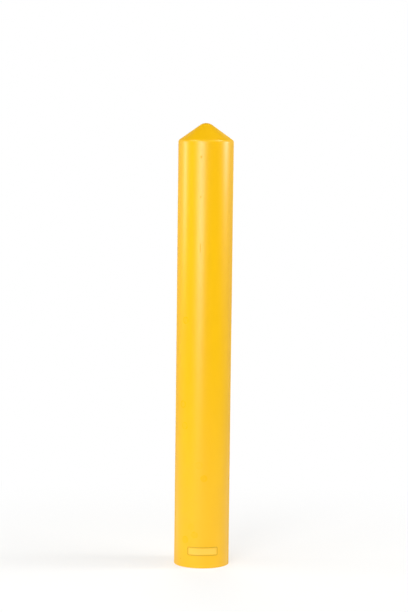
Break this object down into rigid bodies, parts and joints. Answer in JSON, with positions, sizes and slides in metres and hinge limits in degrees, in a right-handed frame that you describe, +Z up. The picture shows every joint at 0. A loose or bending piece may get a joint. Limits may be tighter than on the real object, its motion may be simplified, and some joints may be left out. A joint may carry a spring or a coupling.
{
  "type": "bollard cover",
  "caption": "Plain yellow plastic sleeve with a cone cap, closed at the top and open below, that drops over a round steel bollard post.",
  "frame": {"origin": "centre of the bottom rim, on the surface that the cover stands on", "axes": "+Z up along the sleeve's axis, -Y towards the bare label panel, +X to the right seen from the panel"},
  "size_m": [0.1804, 0.1805, 1.45],
  "materials": {
    "yellow_polyethylene": "moulded polyethylene coloured through, semi-gloss outside and duller inside"
  },
  "bodies": {
    "root": {"cover": "yellow_polyethylene"}
  },
  "joints": []
}
